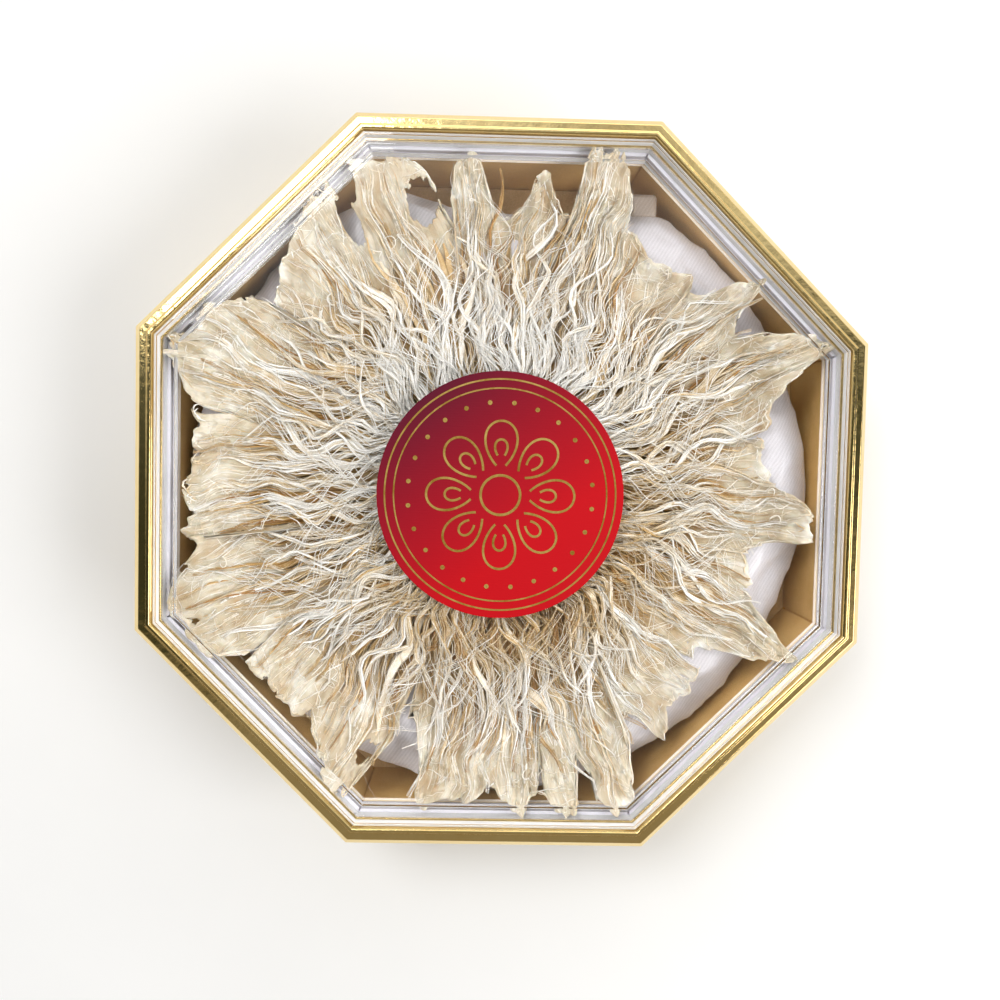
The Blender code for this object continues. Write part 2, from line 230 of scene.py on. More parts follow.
def clean_copy(node, name):
    """A copy of a node's mesh with its loose triangles merged and its flat faces joined."""
    built = bmesh.new()
    built.from_mesh(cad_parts[node].data)
    bmesh.ops.remove_doubles(built, verts=built.verts, dist=MERGE_DISTANCE)
    bmesh.ops.dissolve_limit(
        built, angle_limit=math.radians(FLAT_ANGLE), verts=built.verts, edges=built.edges
    )
    return from_bmesh(name, built)


def read_vertices(mesh, field):
    """A field of a mesh's vertices, with three numbers in a row."""
    values = np.empty(len(mesh.vertices) * 3)
    mesh.vertices.foreach_get(field, values)
    return values.reshape(-1, 3)


def move_vertices(mesh, places):
    mesh.vertices.foreach_set("co", places.reshape(-1))
    mesh.update()


def keep_layers(mesh, layers):
    """Stores a number on each point for every named layer."""
    for label, values in layers.items():
        layer = mesh.attributes.new(label, "FLOAT", "POINT")
        layer.data.foreach_set("value", values.reshape(-1).astype(np.float32))


def soften(obj, width, segments=3):
    """Rounds an object's sharp edges by a width in millimetres, and keeps its flats flat."""
    bevel = obj.modifiers.new("rounded edges", "BEVEL")
    bevel.width = width * MM
    bevel.segments = segments
    bevel.limit_method = "ANGLE"
    bevel.angle_limit = math.radians(SHARP_ANGLE)
    obj.data.shade_smooth()
    obj = settle(obj)
    total = np.zeros((len(obj.data.vertices), 3))
    for face in obj.data.polygons:
        total[list(face.vertices)] += np.array(face.normal) * (face.area / MM**2) ** 2
    total = total / np.linalg.norm(total, axis=1, keepdims=True)
    obj.data.normals_split_custom_set_from_vertices(total.tolist())
    return obj


def finish_piece(obj, material=None, replaced=()):
    """Dresses a piece, ties it to the body and hides the nodes it stands for."""
    if material:
        obj.data.materials.clear()
        obj.data.materials.append(material)
    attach(obj, "root")
    if replaced:
        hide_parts(*replaced)
    return obj


def smooth_step(low, high, value):
    share = np.clip((value - low) / (high - low), 0.0, 1.0)
    return share * share * (3 - 2 * share)


def blended(cells, column, row, right, up):
    """The value between four cells that stand beside and over each other."""
    wide, high = cells.shape

    def level(row):
        near, far = cells[column % wide, row % high], cells[(column + 1) % wide, row % high]
        return near * (1 - right) + far * right

    return level(row) * (1 - up) + level(row + 1) * up


def ripple(across, along, seed):
    """Smooth noise from -1 to 1, read between the points of a seeded random lattice."""
    lattice = np.random.default_rng(seed).uniform(-1, 1, (64, 64))
    column, row = np.floor(across).astype(int), np.floor(along).astype(int)
    right, up = across - column, along - row
    right, up = right * right * (3 - 2 * right), up * up * (3 - 2 * up)
    return blended(lattice, column, row, right, up)


# Shader helpers


def put(tree, kind, inputs=None, **settings):
    """Adds a node. An input's value is a number, a colour or another node's output."""
    made = tree.nodes.new(kind)
    for key, value in settings.items():
        setattr(made, key, value)
    for key, value in (inputs or {}).items():
        if isinstance(value, bpy.types.NodeSocket):
            tree.links.new(value, made.inputs[key])
        else:
            made.inputs[key].default_value = value
    return made


def result(tree, kind, inputs=None, **settings):
    """The first output of a node that it adds."""
    return put(tree, kind, inputs, **settings).outputs[0]


def math_of(tree, operation, *values):
    return result(tree, "ShaderNodeMath", dict(enumerate(values)), operation=operation)


def noise(tree, vector, scale, detail):
    return result(tree, "ShaderNodeTexNoise", {"Vector": vector, "Scale": scale, "Detail": detail})


def remap(tree, value, low, high, to_low=0.0, to_high=1.0):
    ends = {"From Min": low, "From Max": high, "To Min": to_low, "To Max": to_high}
    return result(tree, "ShaderNodeMapRange", {"Value": value, **ends})


def mix_colours(tree, share, low, high, blend="MIX"):
    made = put(tree, "ShaderNodeMix", {0: share, 6: low, 7: high}, data_type="RGBA", blend_type=blend)
    return made.outputs[2]


def ramp(tree, value, stops, steps="LINEAR"):
    """Colours along a value, from pairs of a place and a colour."""
    made = put(tree, "ShaderNodeValToRGB", {"Fac": value})
    made.color_ramp.interpolation = steps
    marks = made.color_ramp.elements
    for mark, (place, colour) in zip((0, 1), (stops[0], stops[-1])):
        marks[mark].position, marks[mark].color = place, (*colour, 1)
    for place, colour in stops[1:-1]:
        marks.new(place).color = (*colour, 1)
    return made.outputs["Color"]


def mottle_group():
    """Two sizes of noise mixed between two colours, with the same noise as a height."""
    group = bpy.data.node_groups.new("Mottle", "ShaderNodeTree")
    for label, kind in (("Vector", "Vector"), ("Scale", "Float"), ("Fine Scale", "Float"),
                        ("Fine Share", "Float"), ("Low", "Color"), ("High", "Color")):
        group.interface.new_socket(label, in_out="INPUT", socket_type="NodeSocket" + kind)
    for label, kind in (("Color", "Color"), ("Height", "Float")):
        group.interface.new_socket(label, in_out="OUTPUT", socket_type="NodeSocket" + kind)
    start, end = put(group, "NodeGroupInput").outputs, put(group, "NodeGroupOutput").inputs
    broad = noise(group, start["Vector"], start["Scale"], 3.0)
    fine = noise(group, start["Vector"], start["Fine Scale"], 2.0)
    mixed = put(group, "ShaderNodeMix", {"Factor": start["Fine Share"], "A": broad, "B": fine})
    height = remap(group, mixed.outputs["Result"], 0.35, 0.65)
    group.links.new(mix_colours(group, height, start["Low"], start["High"]), end["Color"])
    group.links.new(height, end["Height"])
    return group


def start_material(name, plain):
    """A material with plain values on its shader, and the object's own coordinates."""
    material = bpy.data.materials.new(name)
    material.use_nodes = True
    tree = material.node_tree
    shader = tree.nodes["Principled BSDF"]
    for key, value in plain.items():
        shader.inputs[key].default_value = value
    return material, tree, shader, put(tree, "ShaderNodeTexCoord").outputs["Object"]


def mottle(tree, place, scale, fine_scale, fine_share, low, high):
    """The mottle group's colour and height, with values of their own."""
    made = put(tree, "ShaderNodeGroup", {
        "Vector": place, "Scale": scale, "Fine Scale": fine_scale, "Fine Share": fine_share,
        "Low": (*low, 1), "High": (*high, 1)}, node_tree=MOTTLE)
    return made.outputs["Color"], made.outputs["Height"]


def connect(tree, shader, colour, height=None, depth=0.0, strength=1.0):
    """Feeds the shader its colour, and its normal from a height whose depth is in millimetres."""
    tree.links.new(colour, shader.inputs["Base Color"])
    if height is not None:
        made = put(tree, "ShaderNodeBump", {"Height": height, "Distance": depth * MM, "Strength": strength})
        tree.links.new(made.outputs["Normal"], shader.inputs["Normal"])


MOTTLE = mottle_group()


def gold_plate():
    """Metallised plastic: bright, with the slight waves of a thin moulding."""
    material, tree, shader, place = start_material("gold_plate", {"Metallic": 1.0, "Roughness": 0.13})
    connect(tree, shader, *mottle(tree, place, 30.0, 400.0, 0.35, *PLATE_COLOURS), 0.12, 0.5)
    return material


def gold_card(name, colours, roughness, metallic, rim=False):
    """Card with a matt gold foil face. On the wall's top, bands of painted highlight and painted reflection
    lie over the foil.
    """
    material, tree, shader, place = start_material(name, {"Metallic": metallic, "Roughness": roughness})
    colour, height = mottle(tree, place, 120.0, 2600.0, 0.55, *colours)
    # Over the wall's top the colour is painted highlight and painted reflections of the clear rim.
    if rim:
        level = put(tree, "ShaderNodeSeparateXYZ", {"Vector": place}).outputs["Z"]
        up = remap(tree, level, RIM_FOOT * MM, RIM_TOP * MM)
        over = math_of(tree, "GREATER_THAN", up, 0.001)
        colour = mix_colours(tree, over, colour, ramp(tree, up, RIM_PAINTED_LIGHT_BANDS, "CONSTANT"))
    connect(tree, shader, colour, height, 0.05, 0.6)
    return material


def satin(name, colours):
    """Satin: a soft sheen, and a fine twill that shades it."""
    material, tree, shader, place = start_material(
        name, {"Roughness": 0.36, "Sheen Weight": 0.25, "Sheen Roughness": 0.4})
    turned = put(tree, "ShaderNodeMapping", {"Vector": place, "Rotation": (0, 0, math.radians(TWILL_TURN))})
    wave = {"Vector": turned.outputs["Vector"], "Scale": TWILL_SCALE, "Distortion": 1.5, "Detail": 1.0}
    twill = put(tree, "ShaderNodeTexWave", wave, wave_type="BANDS").outputs["Fac"]
    colour = mottle(tree, place, 60.0, 900.0, 0.2, *colours)[0]
    shade = remap(tree, twill, 0.0, 1.0, TWILL_SHADE, 1.0)
    connect(tree, shader, mix_colours(tree, 1.0, colour, shade, "MULTIPLY"), twill, 0.05, 0.4)
    return material


def streaks_along(tree, chart, scale, stretch):
    """Noise drawn out along the second direction of a chart, as fibres lie in dried cement."""
    drawn = put(tree, "ShaderNodeMapping", {"Vector": chart, "Scale": (1.0, stretch, 1.0)})
    return noise(tree, drawn.outputs["Vector"], scale, 3.0)


def add_layers(tree, total, layers):
    """Adds noises to a value, each by its share and evenly to both sides."""
    for layer, share in layers:
        total = math_of(tree, "ADD", total, math_of(tree, "MULTIPLY_ADD", layer, share, -share / 2))
    return total


def nest_strand():
    """A dried strand: its tone runs from amber through cream to white along its own attribute."""
    material, tree, shader, place = start_material(
        "nest_strand", {"Roughness": 0.28, "IOR": 1.55, "Specular IOR Level": 0.75})
    tone, lane = (put(tree, "ShaderNodeAttribute", attribute_name=name) for name in ("tone", "lane"))
    fine, flecks = streaks_along(tree, lane.outputs["Vector"], 2600.0, 0.05), noise(tree, place, 500.0, 3.0)
    total = add_layers(tree, tone.outputs["Fac"], ((fine, 1.1), (flecks, 0.5)))
    connect(tree, shader, ramp(tree, total, STRAND_COLOURS), math_of(tree, "ADD", fine, flecks), 0.12, 0.7)
    return material


def nest_membrane():
    """The cement sheet: amber where strands cover it, pale and streaked towards its torn feet."""
    material, tree, shader, place = start_material("nest_membrane", {
        "Roughness": 0.33, "IOR": 1.52, "Subsurface Weight": 0.4, "Subsurface Radius": (1.0, 0.65, 0.4),
        "Subsurface Scale": 1.6 * MM})
    chart = put(tree, "ShaderNodeUVMap", uv_map="fan").outputs["UV"]
    fine, broad = streaks_along(tree, chart, 2400.0, 0.07), streaks_along(tree, chart, 600.0, 0.2)
    patches, pimples = noise(tree, place, 130.0, 3.0), noise(tree, place, 700.0, 4.0)
    pale = put(tree, "ShaderNodeAttribute", attribute_name="pale").outputs["Fac"]
    total = add_layers(tree, pale, ((patches, 1.3), (fine, 0.3), (broad, 0.35)))
    relief = math_of(tree, "ADD", math_of(tree, "ADD", fine, broad), pimples)
    connect(tree, shader, ramp(tree, total, MEMBRANE_COLOURS), relief, 0.3, 0.9)
    return material


def clear_plastic(name, roughness, transmission):
    return start_material(name, {"Base Color": (0.985, 0.985, 0.99, 1), "Transmission Weight": transmission,
                                 "IOR": 1.49, "Roughness": roughness})[0]


def red_foil():
    """Red foil paper: plum at the upper left running to bright red, with a fine laid grain."""
    material, tree, shader, place = start_material(
        "red_foil", {"Metallic": 0.2, "Roughness": 0.5, "Specular IOR Level": 0.25})
    toward = put(tree, "ShaderNodeVectorMath", {0: place, 1: (-0.6, 0.8, 0.0)}, operation="DOT_PRODUCT")
    colour = ramp(tree, remap(tree, toward.outputs["Value"], -0.016, 0.034), SEAL_COLOURS)
    grain = put(tree, "ShaderNodeTexWave", {"Vector": place, "Scale": 450.0, "Distortion": 0.6},
                wave_type="BANDS", bands_direction="Y")
    connect(tree, shader, colour, grain.outputs["Fac"], 0.02, 0.4)
    return material


def gold_ink():
    material, tree, shader, place = start_material("gold_ink", {"Metallic": 0.6, "Roughness": 0.3})
    connect(tree, shader, mottle(tree, place, 150.0, 1500.0, 0.3, *INK_COLOURS)[0])
    return material


# The nests' solids, read on a polar grid


def read_nests():
    """Top, underside and owner of the nests' solids at each distance and direction."""
    points, faces, owners = [], [], []
    for number, name in enumerate(NESTS):
        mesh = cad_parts[name].data
        first = len(points)
        points += [vert.co / MM for vert in mesh.vertices]
        faces += [[first + place for place in face.vertices] for face in mesh.polygons]
        owners += [number] * len(mesh.polygons)
    tree = BVHTree.FromPolygons(points, faces)
    distances = np.arange(GRID_NEAR, GRID_FAR, GRID_STEP)
    directions = np.arange(0.0, 360.0, GRID_TURN)
    top = np.full((len(distances), len(directions)), np.nan)
    under, owner = top.copy(), np.full(top.shape, -1)
    for row, distance in enumerate(distances):
        for column, direction in enumerate(directions):
            turn = math.radians(direction)
            x, y = distance * math.cos(turn), distance * math.sin(turn)
            place, _, face, _ = tree.ray_cast(Vector((x, y, 80.0)), Vector((0, 0, -1)))
            if place is None:
                continue
            top[row, column] = place.z
            owner[row, column] = owners[face]
            under[row, column] = tree.ray_cast(Vector((x, y, 0.0)), Vector((0, 0, 1)))[0].z
    return distances, directions, top, under, owner


def fill_outward(grid):
    """Fills cells with no nest from the cell beside them or the one nearer the middle."""
    sides = np.stack([np.roll(grid, 1, 1), np.roll(grid, -1, 1)])
    found = (~np.isnan(sides)).sum(axis=0)
    beside = np.where(found > 0, np.nansum(sides, axis=0) / np.maximum(found, 1), np.nan)
    grid = np.where(np.isnan(grid), beside, grid)
    for row in range(1, len(grid)):
        grid[row] = np.where(np.isnan(grid[row]), grid[row - 1], grid[row])
    return np.where(np.isnan(grid), np.nanmean(grid), grid)


def smooth_round(grid, steps):
    """Averages a grid over its neighbours in direction, which leaves out the solids' ridges."""
    return np.mean([np.roll(grid, step, 1) for step in range(-steps, steps + 1)], axis=0)


DISTANCES, DIRECTIONS, TOP, UNDER, OWNER = read_nests()
TOP = smooth_round(fill_outward(TOP), TOP_SMOOTH)
UNDER = smooth_round(fill_outward(UNDER), UNDER_SMOOTH)


def read_grid(grid, distance, direction):
    """The grid's value between its cells, for arrays of distances and directions."""
    row = np.clip((distance - GRID_NEAR) / GRID_STEP, 0, len(DISTANCES) - 1.001)
    column = (direction % 360.0) / GRID_TURN
    row_low, column_low = np.floor(row).astype(int), np.floor(column).astype(int)
    return blended(grid.T, column_low, row_low, column - column_low, row - row_low)


class Fan:
    """One nest's place: its sides, its reach in each direction, and the lines its strands follow."""

    def __init__(self, number):
        self.number = number
        self.seed = 100 + 10 * number
        mine = OWNER == number
        full = mine[: int((SOLID_REACH - GRID_NEAR) / GRID_STEP)]
        middle = np.angle(np.sum(full * np.exp(1j * np.radians(DIRECTIONS))))
        self.middle = math.degrees(middle) % 360.0
        off = (DIRECTIONS - self.middle + 180.0) % 360.0 - 180.0
        order = np.argsort(off)
        self.offs, mine = off[order], mine[:, order]
        self.low = np.array([self.offs[row].min() for row in mine[: len(full)]])
        self.high = np.array([self.offs[row].max() for row in mine[: len(full)]])
        last = len(mine) - 1 - np.argmax(mine[::-1], axis=0)
        self.reach = np.where(mine.any(axis=0), DISTANCES[last], 0.0)
        self.wide = math.radians(self.high[-1] - self.low[-1]) * WIDTH_AT
        self.spots = np.linspace(self.low[-1] - SIDE_OVERLAP, self.high[-1] + SIDE_OVERLAP, 120)
        start, least, power = FOOT_PULL
        pull = np.cumsum(np.clip(self.reach_at(self.spots) - start, least, None) ** power)
        self.order = (pull - pull[0]) / (pull[-1] - pull[0])

    def reach_at(self, off):
        return np.interp(off, self.offs[self.reach > 0], self.reach[self.reach > 0])

    def flow(self, share, distance):
        """Direction, from the nest's middle one, of the line that starts at a share of its width."""
        rows = DISTANCES[: len(self.low)]
        low = np.interp(distance, rows, self.low) - SIDE_OVERLAP
        high = np.interp(distance, rows, self.high) + SIDE_OVERLAP
        inside = np.clip(share, 0, 1)
        begin = low + (high - low) * share
        end = np.interp(inside, self.order, self.spots) + (share - inside) * (high - low)
        wander = SIDE_WANDER * ripple(distance / 6.5, share * 2.0 + distance * 0, self.seed + 4)
        return begin + (end - begin) * smooth_step(*DRAWN_ZONE, distance) + np.degrees(wander / distance)

    def edge(self, share):
        """Distance at which that line meets the torn edge."""
        edge = np.full(np.shape(share), EDGE_GUESS)
        for _ in range(EDGE_ROUNDS):
            edge = self.reach_at(self.flow(share, edge))
        across = share * self.wide
        for wave, depth in RAGGED:
            edge = edge + depth * ripple(across / wave + 7.3, np.zeros_like(across) + wave, self.seed)
        return edge

    def sheet(self, share, distance, edge):
        """Height of the cement sheet: pleats that run into the feet, and a curled rim."""
        across = share * self.wide
        foot = smooth_step(*FOOT_ZONE, distance)
        pleats = 0.3
        for place, (wave, length, depth) in enumerate(PLEATS):
            crest = ripple(across / wave, distance / length, self.seed + 1 + place)
            pleats = pleats + depth * (1 - 2 * np.abs(crest))
        lumps = ripple(across / LUMP_SIZE, distance / LUMP_SIZE, self.seed + 6)
        pleats = pleats + LUMP_RISE * foot * (1 - 2 * np.abs(lumps))
        rim = np.clip(1.0 - (edge - distance) / CURL_WIDE, 0, 1) ** 2 * foot
        curl = rim * CURL * (0.4 + ripple(across / 5.0, np.zeros_like(across) + 3.0, self.seed + 5))
        height = read_grid(UNDER, distance, self.middle + self.flow(share, distance))
        height = height + SHEET_SINK + SHEET_THICK / 2 + 0.25 * (self.number % 2) + foot * 0.5
        height = height + pleats * (WRINKLE + (FOOT_WRINKLE - WRINKLE) * foot) + curl
        return np.minimum(height, TOP_LIMIT - SHEET_THICK)


def across_fan(distance, direction):
    """Plane coordinates of points given by distance and direction."""
    turn = np.radians(direction)
    return distance * np.cos(turn), distance * np.sin(turn)


def round_border(points, faces, times=1):
    """Smooths the line of a grid's border and of its holes, where faces were left out."""
    faces = np.array(faces)
    sides = np.concatenate([faces[:, [place, (place + 1) % 4]] for place in range(4)])
    ordered = np.sort(sides, axis=1)
    _, first, uses = np.unique(ordered, axis=0, return_index=True, return_counts=True)
    border = ordered[first[uses == 1]]
    points = points.copy()
    for _ in range(times):
        total, weight = np.zeros_like(points), np.zeros(len(points))
        for near, far in (border.T, border.T[::-1]):
            np.add.at(total, near, points[far])
            np.add.at(weight, near, 1)
        moved = weight > 0
        points[moved] = 0.7 * points[moved] + 0.3 * total[moved] / weight[moved, None]
    return points


def in_gap(distance, direction, ragged=0.25):
    """Where the photograph shows a gap in the nests."""
    inside = np.zeros(np.shape(distance), bool)
    for middle, far, wide, long in GAPS:
        aside = np.radians((direction - middle + 180.0) % 360.0 - 180.0) * distance
        rough = ragged * ripple(aside / 0.9, distance / 0.9, 5)
        inside |= (aside / wide) ** 2 + ((distance - far) / long) ** 2 + rough < 1.0
    return inside


def torn_away(fan, share, distance, edge):
    """Where the sheet has bites out of its edge, and its gaps."""
    bite = ripple(share * fan.wide / 1.8, distance / 2.4, fan.seed + 7)
    torn = (bite > BITE_LEVEL + BITE_FADE * (edge - distance)) & (distance > WIDTH_AT)
    return torn | in_gap(distance, fan.middle + fan.flow(share, distance))


def clear_of_gaps(lines, radius, tone):
    """Leaves out the strands that would cross a gap."""
    across, along = lines[..., 0], lines[..., 1]
    kept = ~in_gap(np.hypot(across, along), np.degrees(np.arctan2(along, across)), ragged=0.0).any(axis=1)
    return lines[kept], radius[kept], tone[kept]


def make_sheet(fan, material):
    """The nest's cement sheet: a grid whose columns run into the feet, torn, then thickened."""
    columns, rows = int(fan.wide / SHEET_COLUMN), SHEET_ROWS
    share = np.linspace(0, 1, columns + 1)[:, None] * np.ones((1, rows + 1))
    edge = fan.edge(share)
    distance = SHEET_START + (edge - SHEET_START) * np.linspace(0, 1, rows + 1)[None, :] ** 0.62
    x, y = across_fan(distance, fan.middle + fan.flow(share, distance))
    points = np.stack([x, y, fan.sheet(share, distance, edge)], axis=-1).reshape(-1, 3)
    torn = torn_away(fan, share, distance, edge)
    faces = []
    for column in range(columns):
        for row in range(rows):
            if not torn[column, row]:
                corner = column * (rows + 1) + row
                faces.append((corner, corner + 1, corner + rows + 2, corner + rows + 1))
    sheet = mesh_object(f"sheet_{fan.number}", round_border(points, faces), faces)
    mesh = sheet.data
    rim = np.clip(1.0 - (edge - distance) / RIM_WIDE, 0, 1) * smooth_step(*RIM_ZONE, distance)
    lightness = PALE_START + PALE_FEET * smooth_step(*PALE_ZONE, distance) + PALE_RIM * rim
    keep_layers(mesh, {"pale": lightness, "tone": np.zeros(len(points))})
    chart = mesh.uv_layers.new(name="fan")
    flat = np.stack([share * fan.wide * MM, distance * MM], axis=-1).reshape(-1, 2)
    corners = np.empty(len(mesh.loops), np.int32)
    mesh.loops.foreach_get("vertex_index", corners)
    chart.data.foreach_set("uv", flat[corners].reshape(-1).astype(np.float32))
    mesh.materials.append(material)
    shell = sheet.modifiers.new("thickness", "SOLIDIFY")
    shell.thickness = SHEET_THICK * MM
    shell.offset = 0.0
    mesh.shade_smooth()
    return settle(sheet)


def drawer(dice, *shape):
    """A function that draws evenly between two values, in the same shape each time."""
    return lambda low, high: dice.uniform(low, high, shape)


def lock_paths(fan, count, level, wander, free_share, dice):
    """Middle lines of locks: spread over the fan near the middle, drawn together into the feet.

    Returns distance, direction and height for each lock and point, and which locks end free.
    """
    draw = drawer(dice, count, 1)
    own = (np.arange(count)[:, None] + draw(0.1, 0.9)) / count
    free = draw(0, 1) < free_share
    far = fan.edge(own) * draw(0.86, 0.99)
    last = np.where(free, draw(50, 78), far)
    first = draw(26.0, 32.0)
    along = np.linspace(0, 1, LOCK_POINTS)[None, :]
    distance = first + (last - first) * along
    sway = 3.2 * ripple(distance / 30.0, own * fan.wide / 38.0, fan.seed + 8)
    sway = sway + 1.1 * ripple(distance / 15.0, own * fan.wide / 12.0, fan.seed + 9)
    for wave, depth in ((38.0, 1.0), (19.0, 0.45)):
        phase = draw(0, 2 * np.pi)
        wave = wave * draw(0.75, 1.3)
        sway = sway + wander * depth * np.sin(2 * np.pi * distance / wave + phase)
    sway = sway * smooth_step(20.0, 46.0, distance)
    hook = draw(-6.0, 6.0) * free * np.clip((along - 0.72) / 0.28, 0, 1) ** 2
    share = own + dice.normal(0, 0.04, (count, 1)) * smooth_step(45.0, 80.0, distance)
    share = share + (sway + hook) / (fan.wide * distance / WIDTH_AT)
    direction = fan.middle + fan.flow(share, distance)
    base = fan.sheet(share, distance, fan.edge(share)) + SHEET_THICK / 2 + 0.12
    rise = np.clip(read_grid(TOP, distance, direction) - base, 0, None)
    height = base + rise * level[:, None] * (1 - 0.7 * smooth_step(*FOOT_ZONE, distance))
    for wave, depth in ((22.0, 0.5), (11.0, 0.3)):
        phase = draw(0, 2 * np.pi)
        height = height + depth * level[:, None] * np.sin(2 * np.pi * distance / wave + phase)
    height = height + free * np.clip((along - 0.7) / 0.3, 0, 1) * draw(-0.2, 2.5)
    return distance, direction, height, free[:, 0]


def lock_strands(paths, wide, thick, radii, tones, strands, dice):
    """Strands around each lock's middle line, crossing each other a little along it."""
    distance, direction, height, free = paths
    count, points = distance.shape
    middle = np.stack([*across_fan(distance, direction), height], axis=-1)
    ahead = np.gradient(middle, axis=1)
    ahead = ahead / np.linalg.norm(ahead, axis=-1, keepdims=True)
    aside = np.cross(ahead, np.array([0.0, 0.0, 1.0]))
    aside = aside / np.linalg.norm(aside, axis=-1, keepdims=True)
    above = np.cross(aside, ahead)
    along = np.linspace(0, 1, points)[None, None, :]
    draw = drawer(dice, count, strands, 1)
    place, lift = draw(-1, 1), draw(-0.6, 1.4)
    place = place + 0.24 * np.sin(2 * np.pi * along * draw(0.6, 1.7) + draw(0, 2 * np.pi))
    lift = lift + 0.24 * np.sin(2 * np.pi * along * draw(0.6, 1.7) + draw(0, 2 * np.pi))
    swell = 0.5 + 0.5 * smooth_step(0.05, 0.45, along)
    closing = np.where(free[:, None, None], 0.5, 0.4)
    swell = swell * (1 - (1 - closing) * smooth_step(0.6, 1.0, along))
    place = place * wide[:, None, None] * swell
    lift = lift * thick * swell
    ends = draw(0.72, 1.0)
    paths = middle[:, None] + place[..., None] * aside[:, None] + lift[..., None] * above[:, None]
    stretch = np.clip(along / ends, 0, 1)
    radius = draw(*radii) * (1 + 0.25 * np.sin(along * 23 + place * 5))
    taper = np.clip(np.minimum((1 - stretch) / 0.12, along / 0.05), 0.16, 1) ** 0.6
    radius = radius * taper * dice.uniform(*LUMPS, radius.shape)
    tone = tones[:, None, None] + dice.normal(0, 0.2, (count, strands, 1))
    tone = tone + 0.06 * np.sin(along * 9 + lift * 4)
    # Near the seal the tone carries painted light on the far side and painted shade on the near one.
    near = 1 - smooth_step(40.0, 60.0, distance)
    tone = tone + (near * (PAINTED_LIGHT_TONE * np.cos(np.radians(direction - PAINTED_LIGHT_SIDE)) + PAINTED_SHADE_TONE))[:, None, :]
    tone = tone + OUTER_LIFT * smooth_step(58.0, 76.0, distance)[:, None, :]
    paths = paths + dice.normal(0, FRIZZ, paths.shape)
    paths[..., 2] = np.minimum(paths[..., 2], TOP_LIMIT - radius)
    return paths.reshape(-1, points, 3), radius.reshape(-1, points), tone.reshape(-1, points)


def lock_bands(paths, wide, tones, dice):
    """The flat skin of cement that holds each lock's strands together."""
    distance, direction, height = (values[:, :BAND_POINTS] for values in paths[:3])
    along = np.linspace(0, 1, BAND_POINTS)[None, :]
    draw = drawer(dice, len(wide), 1)
    half = wide[:, None] * (0.5 + 0.5 * smooth_step(0.05, 0.45, along))
    frayed = 1 + 0.3 * np.sin(along * draw(9, 22) + draw(0, 6))
    half = half * frayed * np.clip((1.02 - along) / 0.3, 0.08, 1) ** 0.7 * 0.8
    level = np.minimum(height - 0.25, TOP_LIMIT - half * BAND_FLAT)
    middle = np.stack([*across_fan(distance, direction), level], axis=-1)
    return middle, half, tones[:, None] + 0.05 * np.sin(along * 11)


def laid(fan, share, distance, height, radius, tone):
    """Lines from their places on a fan, kept under the pane, with their radius and tone."""
    x, y = across_fan(distance, fan.middle + fan.flow(share, distance))
    lines = np.stack([x, y, np.minimum(height, TOP_LIMIT - radius)], axis=-1)
    return lines, radius, tone * np.ones_like(radius)


def striae(fan, dice):
    """Fine strands half sunk in the sheet, which run together into the tips of the feet."""
    count = int(fan.wide / STRIA_SPACING)
    draw = drawer(dice, count, 1)
    tufts = dice.uniform(0, 1, max(3, count // 9))
    share = dice.choice(tufts, (count, 1)) + dice.normal(0, 0.9 / fan.wide, (count, 1))
    share = np.where(draw(0, 1) < 0.35, draw(0, 1), share)
    edge = fan.edge(share)
    along = np.linspace(0, 1, LOCK_POINTS)[None, :]
    first, last = draw(36.0, 62.0), edge - draw(-0.3, 4.0)
    distance = first + (last - first) * along
    wave = np.sin(distance / draw(1.5, 4.0) + draw(0, 6))
    drift = ripple(distance / 12.0, share * 9.0, fan.seed + 6)
    share = share + 0.3 * wave / fan.wide + 1.6 / fan.wide * drift
    height = fan.sheet(share, distance, edge) + SHEET_THICK / 2 + draw(-0.04, 0.12)
    radius = draw(0.06, 0.17) * np.clip(np.minimum(along, 1 - along) / 0.1, 0.2, 1)
    return laid(fan, share, distance, height, radius, dice.normal(0.78, 0.14, (count, 1)))


def net(fan, dice):
    """Short fine strands that cross the sheet at a slant and tie its fibres together."""
    count = int(fan.wide / NET_SPACING)
    draw = drawer(dice, count, 1)
    run = np.linspace(-1, 1, NET_POINTS)[None, :]
    middle, length, slant = draw(0.01, 0.99), draw(1.0, 4.5), draw(-1.2, 1.2)
    share = middle + run * length * np.cos(slant) / fan.wide
    edge = fan.edge(share)
    distance = 54.0 + (fan.edge(middle) - 56.0) * draw(0, 1) ** 0.7 + run * length * np.sin(slant)
    distance = distance + 0.5 * ripple(run * 2.5 + draw(0, 60), run * 0, fan.seed + 3)
    distance = np.minimum(distance, edge)
    height = fan.sheet(share, distance, edge) + SHEET_THICK / 2 + draw(-0.02, 0.2)
    radius = draw(0.05, 0.14) * (1.1 - np.abs(run) ** 3)
    return laid(fan, share, distance, height, radius, dice.normal(0.84, 0.12, (count, 1)))


def crumbs(fan, dice):
    """Short crumpled ends along the torn edge."""
    count = int(fan.wide / CRUMB_SPACING)
    draw = drawer(dice, count, 1)
    run = np.linspace(-1, 1, CRUMB_POINTS)[None, :]
    share = draw(0, 1) + run * draw(0.5, 2.2) / fan.wide
    edge = fan.edge(share)
    slant = run * draw(-3.0, 3.0)
    distance = edge - draw(0.0, 1.4) - np.abs(slant)
    distance = distance + 0.35 * ripple(run * 3 + draw(0, 60), run * 0, fan.seed + 3)
    bob = 0.4 * ripple(run * 2 + share * 90, run * 0, fan.seed + 4)
    height = fan.sheet(share, distance, edge) + 0.3 + bob
    radius = draw(0.09, 0.28) * (1.1 - np.abs(run) ** 3)
    return laid(fan, share, distance, height, radius, dice.normal(0.76, 0.12, (count, 1)))


